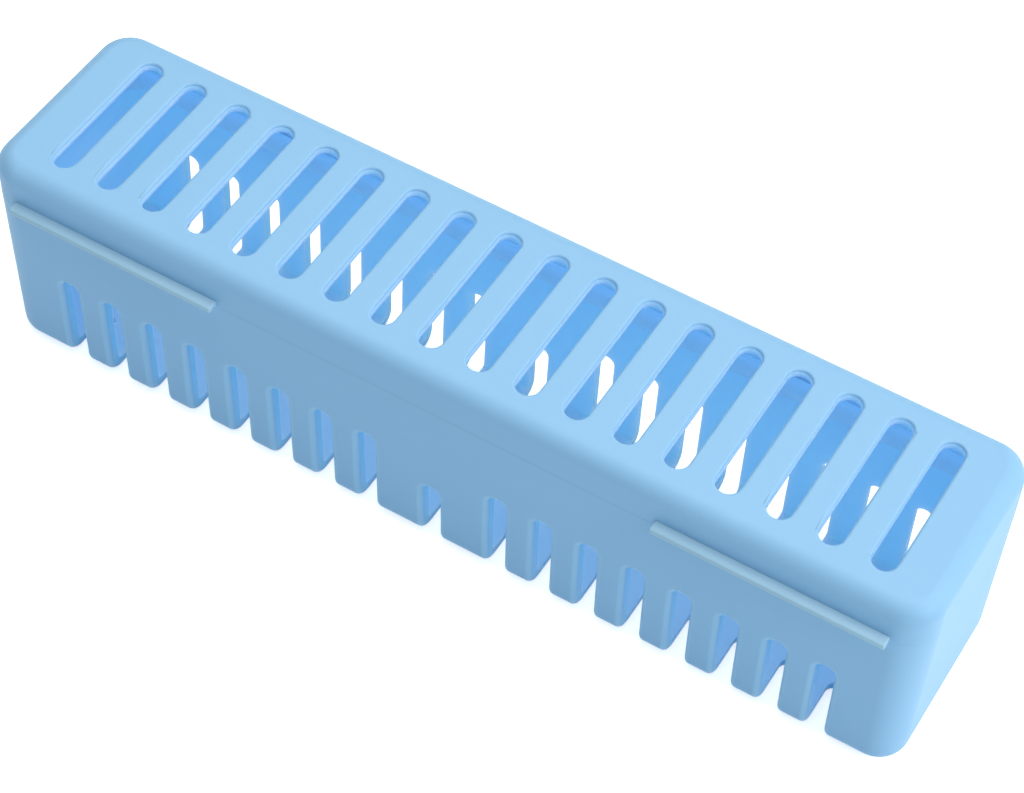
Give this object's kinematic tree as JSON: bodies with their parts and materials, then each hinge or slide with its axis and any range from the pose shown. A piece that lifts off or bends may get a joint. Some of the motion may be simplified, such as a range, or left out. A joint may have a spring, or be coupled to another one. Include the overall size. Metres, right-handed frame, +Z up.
{
  "type": "slotted cryogenic storage box",
  "caption": "Slim light-blue slotted storage box with a hinged lid, a row of cross slots on top and comb slots in its long walls",
  "frame": {"origin": "middle of the underside, on the solid strip along the floor", "axes": "+X along the length of the box, +Y to the back where the hinge is, +Z up"},
  "size_m": [0.147, 0.0373, 0.0365],
  "materials": {
    "blue_moulding": "satin, slightly translucent light blue",
    "pin_steel": "plain drawn stainless"
  },
  "bodies": {
    "tray": {"base_tray": "blue_moulding", "hinge_pin_left": "pin_steel", "hinge_pin_right": "pin_steel"},
    "cover": {"lid": "blue_moulding"}
  },
  "joints": [
    {"name": "lid_hinge", "type": "hinge", "parent": "tray", "child": "cover", "pos_m": [0, 0.01795, 0.0295], "axis": [-1, 0, 0], "range_deg": [0, 180]}
  ]
}
